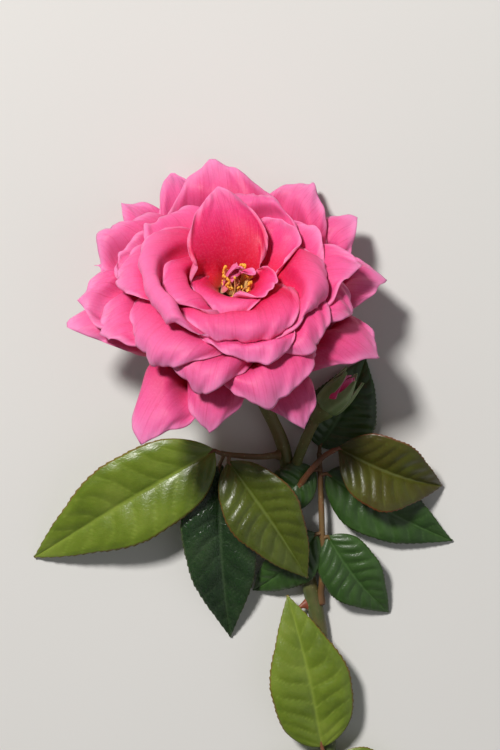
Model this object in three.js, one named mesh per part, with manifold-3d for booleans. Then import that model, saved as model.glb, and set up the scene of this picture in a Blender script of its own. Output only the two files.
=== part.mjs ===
// A cut garden rose lying on a flat surface: the open bloom with its stamens and styles, the pedicel with
// its hip and sepals, a side bud, the stem with its prickles, and four compound leaves.
// Millimetres, +Z up. The stem lies along Y with its cut end towards -Y, and the bloom rests on its
// hindmost petals and faces +Y and up. The origin is the middle of the bounding box's floor.
import * as THREE from "three";
import { mergeVertices } from "three/addons/utils/BufferGeometryUtils.js";
import Module from "manifold-3d";

const wasm = await Module();
wasm.setup();

// ---------------------------------------------------------------- driving dimensions
const BLOOM_ELEVATION = 35; // degrees between the bloom's axis and the surface
const BLOOM_HEIGHT = 30; // height of the bloom's base centre above the surface
const PETAL_THICKNESS = 0.6;
const SEPAL_THICKNESS = 0.8;
const LEAF_THICKNESS = 0.7;
const GAP = 0.3; // clearance between neighbouring pieces
const LAYER_GAP = 0.95; // distance between the middles of petals that lie on each other
const STEM_RADIUS = 2.9;
const RACHIS_RADIUS = 0.9;

// Petal bases sit on a cone from the receptacle's rim, inner petal first, to its foot.
const BASE_INNER = { r: 4.5, f: 3 };
const BASE_OUTER = { r: 8.5, f: -5 };

// Petals from the innermost to the outermost. az is the direction round the bloom's axis (0 towards the
// stem, 90 towards +X), r and f the rim's distance from the axis and height above the base centre, e0 and
// e1 the midline's elevation angles at base and rim, half the half width, roll and curl how far the side
// margins and the rim turn back, point how pointed the tip is (0 round, 1 sharp) and skew where it sits.
const PETALS = [
  ["petaloid_right", -125, 4, 16, 90, 110, 5, 0, 0, 0.2, 0],
  ["petaloid_left", -95, 5, 14, 90, 115, 5, 0, 0, 0.2, 0],
  ["inner_right", 52, 16, 14, 78, 40, 9, -70, 0, 0.3, 0],
  ["inner_front", -22, 18, 10, 76, -30, 15, 25, 60, 0.2, 0.3],
  ["inner_back", -160, 25, 28, 78, 40, 16, 10, 0, 0.8, -0.2],
  ["inner_left", -66, 27, 15, 70, 0, 15, 30, 50, 0.3, 0.2],
  ["cup_small", 136, 25, 18, 66, 60, 12, -85, -10, 0.1, 0],
  ["front_mid", 4, 33, 10, 50, -45, 23, 30, 60, 0.2, 0.2],
  ["right_big", 60, 35, 14, 72, -30, 26, 40, 80, 0.7, 0.1],
  ["back_right", 166, 31, 24, 64, 0, 16, 20, 60, 0.2, 0.2],
  ["left_big", -72, 37, 15, 76, -40, 27, 20, 110, 0.15, 0.2],
  ["cup_outer", 114, 32, 16, 58, 30, 16, -60, 0, 0.3, 0.2],
  ["back_left", -136, 36, 18, 62, 0, 17, 30, 50, 0.2, 0],
  ["front_low", 8, 39, 7, 56, -40, 18, 40, 30, 0.2, 0.3],
  ["right_low", 44, 40, 6, 52, -35, 16, 40, 30, 0.2, -0.2],
  ["right_mid", 88, 42, 13, 50, -10, 15, -20, 0, 0.7, 0.2],
  ["left_round", -92, 40, 11, 50, -20, 15, 30, 40, 0.1, 0],
  ["right_small", 74, 41, 4, 46, -45, 12, 40, 20, 0.3, 0],
  ["left_fold", -106, 41, 14, 48, -10, 14, 30, 40, 0.3, 0],
  ["front_left", -46, 45, 3, 44, -40, 23, 50, 70, 0.5, 0.2],
  ["left_low", -70, 48, 1, 42, -25, 15, 30, 20, 0.3, 0],
  ["front_roll", -16, 46, -3, 40, -60, 19, 80, 50, 0.8, 0],
  ["front_right", 20, 48, -5, 36, -50, 24, 80, 30, 0.6, -0.2],
  ["left_side", -86, 52, 3, 36, -15, 16, 30, 10, 0.4, 0],
  ["left_wide", -117, 49, 13, 36, -5, 24, 60, 30, 0.6, 0.2],
  ["back_top", -173, 47, 21, 38, 15, 25, 50, 0, 0.85, 0.1],
  ["back_corner", 147, 48, 16, 34, 5, 21, 80, 10, 0.85, 0],
  ["right_corner", 125, 50, 10, 30, 0, 19, 90, 10, 0.9, 0],
  ["right_point", 101, 52, 0, 24, -20, 19, 100, 10, 0.95, 0],
  ["back_point", -156, 54, 14, 24, 0, 17, 90, 10, 0.95, 0],
  ["left_notch", -134, 54, 10, 22, -5, 15, 80, 10, 0.9, 0],
  ["outer_right", 70, 51, -10, 16, -35, 21, 100, 10, 0.95, 0],
  ["outer_left", -83, 55, -7, 14, -25, 21, 100, 10, 1, 0],
  ["outer_front", -11, 43, -20, 6, -75, 18, 120, 10, 1, 0],
  ["outer_dark", 29, 46, -20, 4, -65, 18, 120, 10, 1, 0],
  ["outer_low", -33, 55, -22, 2, -60, 20, 110, 10, 1, 0],
  ["outer_hook", -112, 52, -2, 6, -20, 10, 90, 10, 0.9, 0],
].map(([name, az, r, f, e0, e1, half, roll, curl, point, skew], number, all) => ({
  name: "petal_" + name, number, order: number / (all.length - 1), az, r, f, e0, e1, half, roll, curl, point, skew,
}));

// The shoot's routes, from the cut end to the fork, and from the fork to the bloom and to the bud.
const STEM_ROUTE = [[33.2, -182, 3.2], [32, -152, 3.2], [29.5, -122, 3.2], [24.5, -100, 3.2], [20.5, -82, 3.4], [19, -69, 3.8]];
const PEDICEL_ROUTE = [[18.6, -66, 4], [16, -54, 4.8], [10, -40, 7.6], [4, -26, 13], [0.6, -15.5, 19.2], [0, -12, 21.6]];
const BUD_ROUTE = [[19.8, -65.4, 4.6], [22, -58, 7], [25, -50, 9], [28, -44, 10]];
const BUD_HEADING = [0.62, 0.76, 0.18];
const BUD_LENGTH = 19;
const BUD_RADIUS = 5;

// Leaves: each has a route for its stalk, and leaflets as [name, base, tip, width, arch, fold in degrees].
const LEAVES = {
  leaf_left: {
    route: [[15, -58, 6.4], [8, -58, 9.5], [0, -57, 12], [-5, -56, 13]],
    leaflets: [
      ["big", [-7.4, -55, 13.2], [-71, -96, 1.2], 31, 5, 16],
      ["right", [-2.4, -59, 13.6], [25, -101, 10.5], 25, 4, 27],
      ["low", [-5.6, -61, 10], [-2, -125, 1.2], 27, 3, 16],
    ],
  },
  leaf_bract: {
    route: [[21.5, -70, 6.5], [25, -64, 9.4], [30, -58, 10.4], [34, -55.4, 10.6]],
    leaflets: [["blade", [35.6, -54.8, 10.6], [72, -70, 2], 26, 4, 34]],
  },
  leaf_right: {
    route: [[29.6, -112, 3.4], [30.4, -98, 6.4], [30, -84, 7], [29.4, -68, 5.6], [29, -58, 3.6]],
    leaflets: [
      ["low_right", [32, -87, 7], [54, -116, 1.2], 21, 3, 12],
      ["low_left", [28, -86, 7.4], [6, -108, 1.2], 18, 3, 8],
      ["high_right", [31.6, -65, 5.2], [76, -90, 1.2], 23, 2, 10],
      ["high_left", [27.4, -63.5, 6], [2, -79, 1.2], 17, 4, 8],
      ["tip", [29.2, -55.8, 3.2], [45, -25, 1.2], 25, 2, 8],
    ],
  },
  leaf_foot: {
    route: [[33, -176, 5], [32.2, -170.5, 7.6], [31, -165.5, 8]],
    leaflets: [
      ["middle", [30.4, -163.4, 8.2], [18, -108, 7.4], 29, 3, 10],
      ["left", [30, -169.5, 7.6], [4, -189, 1.2], 19, 2, 8],
      ["right", [34.4, -169, 7.6], [64, -178, 1.2], 19, 2, 8],
    ],
  },
};

const rad = THREE.MathUtils.degToRad;
const { lerp, clamp } = THREE.MathUtils;
const smooth = (x) => THREE.MathUtils.smoothstep(x, 0, 1);
const vector = (list) => new THREE.Vector3(...list);

// ---------------------------------------------------------------- the bloom's frame
// Its x is the object's x, its y points away from the stem and its z runs up the bloom's axis.
const tilt = rad(90 - BLOOM_ELEVATION);
const bloomFrame = new THREE.Matrix4().makeTranslation(0, 0, BLOOM_HEIGHT);
bloomFrame.multiply(new THREE.Matrix4().makeRotationX(-tilt));

// A petal or leaf that reaches the surface lies on it.
function layOnSurface(grid, thickness) {
  for (const row of grid) {
    for (const point of row) point.z = Math.max(point.z, thickness / 2);
  }
  return grid;
}

// ---------------------------------------------------------------- solids
function geometryFrom(points, index) {
  const geometry = new THREE.BufferGeometry().setFromPoints(points);
  geometry.setIndex(index);
  return geometry;
}

function solidOf(geometry) {
  const bare = geometry.clone();
  bare.deleteAttribute("normal");
  bare.deleteAttribute("uv");
  const merged = mergeVertices(bare, 1e-3);
  return new wasm.Manifold(
    new wasm.Mesh({
      numProp: 3,
      vertProperties: merged.attributes.position.array,
      triVerts: new Uint32Array(merged.index.array),
    }),
  );
}

function geometryOf(solid) {
  const mesh = solid.getMesh();
  const geometry = new THREE.BufferGeometry();
  geometry.setAttribute("position", new THREE.BufferAttribute(mesh.vertProperties, 3));
  geometry.setIndex(new THREE.BufferAttribute(mesh.triVerts, 1));
  geometry.computeVertexNormals();
  return geometry;
}

// A closed shell of the given thickness about a grid of mid-surface points. margin widens its outline.
function shell(grid, thickness, margin = 0) {
  const rows = grid.length;
  const cols = grid[0].length;
  const at = (j, i) => grid[clamp(j, 0, rows - 1)][clamp(i, 0, cols - 1)];
  const points = [];
  for (const side of [0.5, -0.5]) {
    for (let j = 0; j < rows; j++) {
      for (let i = 0; i < cols; i++) {
        const across = at(j, i + 1).clone().sub(at(j, i - 1));
        const along = at(j + 1, i).clone().sub(at(j - 1, i));
        const normal = across.clone().cross(along).normalize();
        const point = at(j, i).clone().addScaledVector(normal, side * thickness);
        if (i === 0) point.addScaledVector(across.normalize(), -margin);
        if (i === cols - 1) point.addScaledVector(across.normalize(), margin);
        if (j === 0) point.addScaledVector(along.normalize(), -margin);
        if (j === rows - 1) point.addScaledVector(along.normalize(), margin);
        points.push(point);
      }
    }
  }
  const index = [];
  const quad = (a, b, c, d) => index.push(a, b, c, a, c, d);
  const top = (j, i) => j * cols + i;
  const under = (j, i) => rows * cols + j * cols + i;
  for (let j = 0; j < rows - 1; j++) {
    for (let i = 0; i < cols - 1; i++) {
      quad(top(j, i), top(j, i + 1), top(j + 1, i + 1), top(j + 1, i));
      quad(under(j, i), under(j + 1, i), under(j + 1, i + 1), under(j, i + 1));
    }
    quad(top(j, 0), top(j + 1, 0), under(j + 1, 0), under(j, 0));
    quad(top(j + 1, cols - 1), top(j, cols - 1), under(j, cols - 1), under(j + 1, cols - 1));
  }
  for (let i = 0; i < cols - 1; i++) {
    quad(top(0, i + 1), top(0, i), under(0, i), under(0, i + 1));
    quad(top(rows - 1, i), top(rows - 1, i + 1), under(rows - 1, i + 1), under(rows - 1, i));
  }
  return solidOf(geometryFrom(points, index));
}

// A closed round tube along a smooth route, with the radius running from start to end.
function tube(route, start, end, sides, steps, grow = 0) {
  const curve = new THREE.CatmullRomCurve3(route.map(vector));
  const { normals, binormals } = curve.computeFrenetFrames(steps);
  const points = [];
  for (let j = 0; j <= steps; j++) {
    const centre = curve.getPointAt(j / steps);
    const radius = lerp(start, end, j / steps) + grow;
    for (let i = 0; i < sides; i++) {
      const angle = (2 * Math.PI * i) / sides;
      points.push(
        centre
          .clone()
          .addScaledVector(normals[j], radius * Math.cos(angle))
          .addScaledVector(binormals[j], radius * Math.sin(angle)),
      );
    }
  }
  const index = [];
  for (let i = 0; i < sides; i++) {
    const next = (i + 1) % sides;
    for (let j = 0; j < steps; j++) {
      const a = j * sides;
      const b = a + sides;
      index.push(a + i, a + next, b + next, a + i, b + next, b + i);
    }
    if (i > 0 && i < sides - 1) {
      index.push(0, next, i);
      index.push(steps * sides, steps * sides + i, steps * sides + next);
    }
  }
  return solidOf(geometryFrom(points, index));
}

// A turned solid about an axis: outline as [radius, height] pairs from foot to top, foot and top on the axis.
function turned(outline, sides, matrix, grow = 0) {
  const profile = outline.map(([r, h], i) => {
    const end = i === 0 ? -1 : i === outline.length - 1 ? 1 : 0;
    return new THREE.Vector2(r === 0 ? 0 : r + grow, h + end * grow);
  });
  const geometry = new THREE.LatheGeometry(profile, sides);
  geometry.rotateX(Math.PI / 2);
  geometry.applyMatrix4(matrix);
  return solidOf(geometry);
}

const WIDEST = 0.36; // where along a blade it is widest

// A pointed blade from base to tip: a grid with the given width, arched upwards and folded along its midrib.
function bladeGrid(base, tip, width, arch, fold, up, cols = 4, rows = 6) {
  const start = new THREE.Vector3(...base);
  const end = new THREE.Vector3(...tip);
  const along = end.clone().sub(start).normalize();
  const side = along.clone().cross(up).normalize();
  const above = side.clone().cross(along).normalize();
  const grid = [];
  for (let j = 0; j <= rows; j++) {
    const s = j / rows;
    const half = (width / 2) * Math.max((s / WIDEST) ** 0.62 * ((1 - s) / (1 - WIDEST)) ** 1.1, 0.05);
    const row = [];
    for (let i = 0; i <= cols; i++) {
      const across = ((2 * i) / cols - 1) * half;
      const height = arch * 4 * s * (1 - s) + Math.abs(across) * Math.tan(rad(fold)) - arch * (across / width) ** 2;
      row.push(start.clone().lerp(end, s).addScaledVector(side, across).addScaledVector(above, height));
    }
    grid.push(row);
  }
  return grid;
}

// ---------------------------------------------------------------- petals
const PROFILE_STEPS = 40;
const FINE_COLS = 36;
const FINE_ROWS = 36;
const SOLID_STEP = 6; // the solid's grid takes every sixth point of the fine one
const CLAW = 0.1; // a petal's width at its foot, as a share of its full width
const WIDENING = 0.75; // the smaller, the sooner the petal reaches its full width
const ROUND_DROP = 0.36; // how far a round rim's corners stay behind its middle, as a share of the length
const SHARP_DROP = 0.5; // and those of a pointed rim
const ROLL_START = 0.35; // where along the petal its margins start to turn back
const ROLL_LENGTH = 0.6; // and over what share of it they do
const LEAST_TURN = 1e-3;
const FLAT_SHARE = 0.55; // the middle share of the width that stays flat
const FLAT_SHARE_LOST = 0.4; // less this, on a sharp petal
const CURL_START = 0.72; // where the midline starts to curl back
const AXIS_WRAP = 0.75; // how closely petals wrap round the axis, 0 being flat

// The petal's midline in the plane through the bloom's axis: points with r, f and the elevation angle.
function petalProfile(petal) {
  const base = new THREE.Vector2(
    lerp(BASE_INNER.r, BASE_OUTER.r, petal.order),
    lerp(BASE_INNER.f, BASE_OUTER.f, petal.order),
  );
  const rim = new THREE.Vector2(petal.r, petal.f);
  const handle = 0.42 * rim.distanceTo(base);
  const heading = (degrees) => new THREE.Vector2(Math.cos(rad(degrees)), Math.sin(rad(degrees)));
  const curve = new THREE.CubicBezierCurve(
    base,
    base.clone().addScaledVector(heading(petal.e0), handle),
    rim.clone().addScaledVector(heading(petal.e1), -handle),
    rim,
  );
  const raw = curve.getPoints(PROFILE_STEPS);
  const steps = raw.slice(1).map((point, i) => point.clone().sub(raw[i]));
  const length = steps.reduce((sum, step) => sum + step.length(), 0);
  const signed = (angle) => (angle > Math.PI ? angle - 2 * Math.PI : angle);
  const line = [{ s: 0, r: base.x, f: base.y, angle: signed(steps[0].angle()) }];
  let done = 0;
  for (const step of steps) {
    const middle = (done + step.length() / 2) / length;
    step.rotateAround(new THREE.Vector2(), -rad(petal.curl) * smooth((middle - CURL_START) / (1 - CURL_START)));
    done += step.length();
    const last = line[line.length - 1];
    line.push({ s: done / length, r: last.r + step.x, f: last.f + step.y, angle: signed(step.angle()) });
  }
  return { line, length };
}

function sampleProfile(line, s) {
  const i = clamp(line.findIndex((point) => point.s >= s) - 1, 0, line.length - 2);
  const k = clamp((s - line[i].s) / (line[i + 1].s - line[i].s), 0, 1);
  return {
    r: lerp(line[i].r, line[i + 1].r, k),
    f: lerp(line[i].f, line[i + 1].f, k),
    angle: lerp(line[i].angle, line[i + 1].angle, k),
  };
}

// The petal's mid-surface in the bloom's frame.
function petalGrid(petal) {
  const { line, length } = petalProfile(petal);
  const az = rad(petal.az);
  const grid = [];
  for (let j = 0; j <= FINE_ROWS; j++) {
    const v = j / FINE_ROWS;
    const width = petal.half * (CLAW + (1 - CLAW) * Math.sin((Math.PI / 2) * v ** WIDENING));
    const rolled = rad(petal.roll) * smooth((v - ROLL_START) / ROLL_LENGTH);
    const turn = Math.abs(rolled) < LEAST_TURN ? LEAST_TURN : rolled;
    const flatShare = FLAT_SHARE - FLAT_SHARE_LOST * petal.point * smooth((v - 0.4) / 0.6);
    const rollRadius = ((1 - flatShare) * width) / turn;
    const row = [];
    for (let i = 0; i <= FINE_COLS; i++) {
      const u = (2 * i) / FINE_COLS - 1;
      const a = Math.abs(u);
      const offTip = Math.abs(u - petal.skew * (1 - u * u));
      const roundDrop = ROUND_DROP * (1 - Math.sqrt(Math.max(0, 1 - offTip ** 2.6)));
      const sharpDrop = SHARP_DROP * (0.72 * offTip ** 0.92 + 0.28 * offTip ** 4);
      const t = v * (1 - lerp(roundDrop, sharpDrop, petal.point));
      const { r, f, angle } = sampleProfile(line, t);
      const over = Math.max(a * width - flatShare * width, 0);
      const across = Math.sign(u) * (Math.min(a, flatShare) * width + rollRadius * Math.sin(over / rollRadius));
      const phase = petal.number * 2.4;
      const ruffle = (length / 80) * smooth((t - 0.5) / 0.5);
      const lift =
        -rollRadius * (1 - Math.cos(over / rollRadius)) +
        1.2 * u * t +
        ruffle * (0.8 * Math.sin(5.5 * u + phase) + 0.45 * Math.sin(11 * u + 1.7 * phase + 3 * t));
      const outward = r - lift * Math.sin(angle);
      const swing = across / Math.max(r, 4);
      const tangential = lerp(across, outward * Math.sin(swing), AXIS_WRAP);
      const radial = outward * lerp(1, Math.cos(swing), AXIS_WRAP);
      row.push(
        new THREE.Vector3(
          radial * Math.sin(az) + tangential * Math.cos(az),
          -radial * Math.cos(az) + tangential * Math.sin(az),
          f + lift * Math.cos(angle),
        ),
      );
    }
    grid.push(row);
  }
  return grid;
}

// Petals lie on each other. Round the bloom's foot, each direction and distance has a lowest elevation
// that the petals laid so far reach there, and the next petal outwards is pressed below it.
const AZIMUTH_CELLS = 120;
const REACH_CELLS = 50;
const CELL_REACH = 1.5;
const ceiling = Array.from({ length: AZIMUTH_CELLS }, () => new Float32Array(REACH_CELLS).fill(Math.PI));

const polar = (point) => ({
  around: Math.atan2(point.y, point.x),
  reach: point.length(),
  elevation: Math.atan2(point.z, Math.hypot(point.x, point.y)),
});

const cellOf = ({ around, reach }) => [
  Math.floor((around / (2 * Math.PI) + 1) * AZIMUTH_CELLS) % AZIMUTH_CELLS,
  clamp(Math.floor(reach / CELL_REACH), 0, REACH_CELLS - 1),
];

function pressUnder(grid) {
  let press = grid.map((row) =>
    row.map((point) => {
      const place = polar(point);
      const [a, d] = cellOf(place);
      let lowest = Math.PI;
      for (const da of [-1, 0, 1]) {
        for (const dd of [-1, 0, 1]) {
          const column = ceiling[(a + da + AZIMUTH_CELLS) % AZIMUTH_CELLS];
          lowest = Math.min(lowest, column[clamp(d + dd, 0, REACH_CELLS - 1)]);
        }
      }
      const wanted = Math.max(0, place.elevation - lowest + LAYER_GAP / place.reach);
      return wanted * smooth((place.reach - 7) / 7);
    }),
  );
  // The pressed places pass into the free ones over a few cells.
  for (let pass = 0; pass < 3; pass++) {
    press = press.map((row, j) =>
      row.map((own, i) => {
        const near = [-1, 0, 1].flatMap((dj) =>
          [-1, 0, 1].map((di) => press[clamp(j + dj, 0, FINE_ROWS)][clamp(i + di, 0, FINE_COLS)]),
        );
        return Math.max(own, near.reduce((sum, value) => sum + value, 0) / near.length);
      }),
    );
  }
  grid.forEach((row, j) =>
    row.forEach((point, i) => {
      const { around, reach, elevation } = polar(point);
      const lowered = elevation - press[j][i];
      const flat = reach * Math.cos(lowered);
      point.set(flat * Math.cos(around), flat * Math.sin(around), reach * Math.sin(lowered));
      const [a, d] = cellOf({ around, reach });
      ceiling[a][d] = Math.min(ceiling[a][d], lowered);
    }),
  );
  return grid;
}

// ---------------------------------------------------------------- laying the pieces out
const object = new THREE.Group();
const placed = [];

function boxesMeet(a, b) {
  const p = a.boundingBox();
  const q = b.boundingBox();
  return [0, 1, 2].every((k) => p.min[k] <= q.max[k] && q.min[k] <= p.max[k]);
}

const largest = (solid) => solid.decompose().sort((a, b) => b.volume() - a.volume())[0];

// Adds a piece. build(grow) gives its solid, grown by that much, and the piece is cleared of all before it.
function add(name, color, roughness, build) {
  const whole = build(0);
  const near = placed.filter((other) => boxesMeet(whole, other));
  const solid = near.reduce((rest, other) => rest.subtract(other), whole);
  const body = largest(solidOf(geometryOf(largest(solid))));
  placed.push(build(GAP).add(body));
  const material = new THREE.MeshStandardMaterial({ color, roughness, metalness: 0 });
  const mesh = new THREE.Mesh(geometryOf(body), material);
  mesh.name = name;
  object.add(mesh);
}

const thin = (grid, thickness) => (grow) => shell(grid, thickness + 2 * grow, grow);

// ---------------------------------------------------------------- the bloom's heart, hip and sepals
const HIP_OUTLINE = [[0, -21], [2.3, -20.6], [2.8, -17.5], [4.8, -13], [6.4, -9], [7.2, -6.2], [7, -5], [3.4, 2.2], [0, 2.4]];
const STYLES_OUTLINE = [[0, 2.8], [1.7, 2.9], [1.5, 4.6], [2, 7], [1.2, 8], [0, 8.2]];
const STAMENS = 13;
const STAMEN_RING = { inner: 2.2, outer: 3.6, foot: 2.9, top: 3.7 };
const FILAMENT_RADIUS = 0.3;
const ANTHER_RADIUS = 0.85;

function stamens(grow) {
  const { inner, outer, foot, top } = STAMEN_RING;
  const ringSection = [
    [inner - grow, foot - grow], [outer + grow, foot - grow], [outer + grow, top + grow], [inner - grow, top + grow],
  ];
  const ring = new THREE.LatheGeometry([...ringSection, ringSection[0]].map(([r, h]) => new THREE.Vector2(r, h)), 13);
  ring.rotateX(Math.PI / 2);
  let solid = solidOf(ring);
  for (let i = 0; i < STAMENS; i++) {
    const angle = (2 * Math.PI * i) / STAMENS;
    const spread = 4.6 + 1.1 * Math.sin(3.7 * i);
    const height = 9 + 1.6 * Math.cos(2.3 * i);
    const at = (r, h) => [r * Math.cos(angle), r * Math.sin(angle), h];
    const route = [at(2.9, 3.2), at(3.3, 6), at(spread, height)];
    const anther = new THREE.OctahedronGeometry(ANTHER_RADIUS + grow, 0);
    anther.translate(...at(spread, height));
    solid = solid.add(tube(route, FILAMENT_RADIUS, FILAMENT_RADIUS, 3, 2, grow)).add(solidOf(anther));
  }
  return solid.transform(bloomFrame.elements);
}

const PETAL_PINK = 0xee5a92;
const LEAF_GREEN = 0x4c6b2c;
const DARK_GREEN = 0x2c4a2c;
const STALK_GREEN = 0x6b7a3a;
const STALK_RED = 0x7c3a2c;
const POLLEN_YELLOW = 0xe0a030;

for (const petal of PETALS) {
  const fine = pressUnder(petalGrid(petal));
  const coarse = fine
    .filter((row, j) => j % SOLID_STEP === 0)
    .map((row) => row.filter((point, i) => i % SOLID_STEP === 0).map((point) => point.clone().applyMatrix4(bloomFrame)));
  add(petal.name, PETAL_PINK, 0.5, thin(layOnSurface(coarse, PETAL_THICKNESS), PETAL_THICKNESS));
}
add("styles", 0xc9b070, 0.6, (grow) => turned(STYLES_OUTLINE, 10, bloomFrame, grow));
add("stamens", POLLEN_YELLOW, 0.6, stamens);

const SEPALS = 5;
const SEPAL_FOOT = { r: 5.2, f: -8 };
const SEPAL_TIP = { r: 26, f: -20 };

function sepal(number, grow) {
  const az = (2 * Math.PI * (number + 0.5)) / SEPALS;
  const at = ({ r, f }) => new THREE.Vector3(r * Math.sin(az), -r * Math.cos(az), f).applyMatrix4(bloomFrame);
  const axis = new THREE.Vector3(0, 0, 1).transformDirection(bloomFrame);
  const grid = bladeGrid(at(SEPAL_FOOT), at(SEPAL_TIP), 9, 2.5, -12, axis, 2, 6);
  return shell(layOnSurface(grid, SEPAL_THICKNESS), SEPAL_THICKNESS + 2 * grow, grow);
}

add("pedicel_with_hip_and_sepals", STALK_GREEN, 0.5, (grow) => {
  let solid = turned(HIP_OUTLINE, 16, bloomFrame, grow);
  solid = solid.add(tube(PEDICEL_ROUTE, 2.3, 2.2, 8, 16, grow));
  for (let i = 0; i < SEPALS; i++) solid = solid.add(sepal(i, grow));
  return solid;
});

// ---------------------------------------------------------------- the stem
const PRICKLES = [[0.12, 170], [0.3, 20], [0.46, 150], [0.62, 12], [0.8, 100]]; // place along it, degrees round it
const PRICKLE_LENGTH = 5;

function prickle(curve, [place, around], grow) {
  const centre = curve.getPointAt(place);
  const along = curve.getTangentAt(place);
  const side = new THREE.Vector3(0, 0, 1).cross(along).normalize();
  const out = side.applyAxisAngle(along, rad(around));
  const foot = centre.clone().addScaledVector(out, STEM_RADIUS * 0.6);
  const bend = centre.clone().addScaledVector(out, STEM_RADIUS + PRICKLE_LENGTH * 0.5);
  const point = centre.clone().addScaledVector(out, STEM_RADIUS + PRICKLE_LENGTH).addScaledVector(along, -2);
  return tube([foot, bend, point].map((p) => p.toArray()), 1.7, 0.25, 5, 4, grow);
}

add("stem", STALK_GREEN, 0.5, (grow) => {
  const curve = new THREE.CatmullRomCurve3(STEM_ROUTE.map(vector));
  let solid = tube(STEM_ROUTE, STEM_RADIUS, 2.6, 8, 16, grow);
  for (const each of PRICKLES) solid = solid.add(prickle(curve, each, grow));
  return solid;
});

// ---------------------------------------------------------------- the bud
const budFrame = new THREE.Matrix4().makeTranslation(...BUD_ROUTE.at(-1));
const budTurn = new THREE.Quaternion().setFromUnitVectors(new THREE.Vector3(0, 0, 1), vector(BUD_HEADING).normalize());
budFrame.multiply(new THREE.Matrix4().makeRotationFromQuaternion(budTurn));

const BUD_HIP_OUTLINE = [[0, -2], [1.6, -1.8], [3, 1], [3.8, 3.6], [3.4, 5.6], [0, 6]];
const budRadius = (s) => BUD_RADIUS * Math.sin(Math.PI * (0.22 + 0.78 * s)) ** 0.8 * (1 - 0.35 * s);
const BUD_FOOT = 6.4;

add("bud_petals", PETAL_PINK, 0.5, (grow) => {
  const outline = [[0, BUD_FOOT]];
  for (let i = 0; i < 8; i++) outline.push([budRadius(i / 8), BUD_FOOT + 0.1 + ((BUD_LENGTH - BUD_FOOT) * i) / 8]);
  outline.push([0, BUD_LENGTH]);
  return turned(outline, 12, budFrame, grow);
});

function budSepal(number, grow) {
  const grid = [];
  for (let j = 0; j <= 6; j++) {
    const s = j / 6;
    const row = [];
    for (let i = 0; i <= 2; i++) {
      const angle = (2 * Math.PI * number) / SEPALS + (i - 1) * 0.62 * (1 - 0.86 * s ** 1.4);
      const r = (s < 0.05 ? 3 : budRadius(s * 0.92)) + 0.85 + 2.5 * s ** 3;
      row.push(new THREE.Vector3(r * Math.cos(angle), r * Math.sin(angle), 4.4 + 15 * s).applyMatrix4(budFrame));
    }
    grid.push(row);
  }
  return shell(grid, SEPAL_THICKNESS + 2 * grow, grow);
}

add("bud_stalk_with_sepals", STALK_GREEN, 0.5, (grow) => {
  let solid = tube(BUD_ROUTE, 1.9, 1.8, 8, 8, grow).add(turned(BUD_HIP_OUTLINE, 12, budFrame, grow));
  for (let i = 0; i < SEPALS; i++) solid = solid.add(budSepal(i, grow));
  return solid;
});

// ---------------------------------------------------------------- leaves
const up = new THREE.Vector3(0, 0, 1);
for (const [leaf, { route }] of Object.entries(LEAVES)) {
  add(leaf + "_stalk", STALK_RED, 0.55, (grow) => tube(route, RACHIS_RADIUS * 1.3, RACHIS_RADIUS, 6, 12, grow));
}
for (const [leaf, { leaflets }] of Object.entries(LEAVES)) {
  for (const [name, base, tip, width, arch, fold] of leaflets) {
    const grid = layOnSurface(bladeGrid(base, tip, width, arch, fold, up), LEAF_THICKNESS);
    add(leaf + "_" + name, leaf === "leaf_right" ? DARK_GREEN : LEAF_GREEN, 0.4, thin(grid, LEAF_THICKNESS));
  }
}

// ---------------------------------------------------------------- origin
const box = new THREE.Box3().setFromObject(object);
object.position.set(-(box.min.x + box.max.x) / 2, -(box.min.y + box.max.y) / 2, -box.min.z);

export default object;
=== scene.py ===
# The finish of a cut garden rose that lies on a pale floor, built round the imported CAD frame.
# Shapes are worked out in millimetres in two frames: the bloom's (x right, y away from the stem,
# z up the bloom's axis) and the rose's own (the CAD source's, before its origin was moved), and every
# piece is put in the CAD's frame, in metres, at the end.
import math

import bpy
import numpy as np
from mathutils import Matrix, Vector


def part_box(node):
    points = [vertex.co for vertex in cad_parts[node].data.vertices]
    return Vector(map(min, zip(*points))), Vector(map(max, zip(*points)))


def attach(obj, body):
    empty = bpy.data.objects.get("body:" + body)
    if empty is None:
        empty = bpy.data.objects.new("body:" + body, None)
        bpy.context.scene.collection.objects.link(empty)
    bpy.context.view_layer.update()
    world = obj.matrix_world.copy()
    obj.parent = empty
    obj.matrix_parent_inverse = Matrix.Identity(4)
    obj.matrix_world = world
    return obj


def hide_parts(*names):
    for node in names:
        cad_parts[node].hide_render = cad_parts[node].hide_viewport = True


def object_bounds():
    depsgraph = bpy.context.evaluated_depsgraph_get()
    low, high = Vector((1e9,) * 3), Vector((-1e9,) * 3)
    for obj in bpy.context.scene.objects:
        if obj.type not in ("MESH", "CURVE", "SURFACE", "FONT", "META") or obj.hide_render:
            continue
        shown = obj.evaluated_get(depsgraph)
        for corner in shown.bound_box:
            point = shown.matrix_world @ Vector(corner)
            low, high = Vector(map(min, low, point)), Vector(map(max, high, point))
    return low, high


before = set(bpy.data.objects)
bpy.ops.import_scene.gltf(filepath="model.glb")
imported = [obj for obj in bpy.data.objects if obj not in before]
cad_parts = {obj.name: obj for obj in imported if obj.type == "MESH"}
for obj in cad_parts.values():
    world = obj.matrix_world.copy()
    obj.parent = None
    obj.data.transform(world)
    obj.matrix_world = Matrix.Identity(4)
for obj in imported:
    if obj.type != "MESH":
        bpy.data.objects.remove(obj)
cad_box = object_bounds()

MM = 0.001
FLOOR_CLEARANCE = 0.02  # no surface comes nearer to the floor, so that none lies in it

# ---------------------------------------------------------------- where the CAD puts the rose
BLOOM_ELEVATION = math.radians(35)
BLOOM_HEIGHT = 30.0
STYLES_TOP = (8.0, 1.2)  # height and radius of the styles' top edge, whose far side is their furthest +Y

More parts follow.
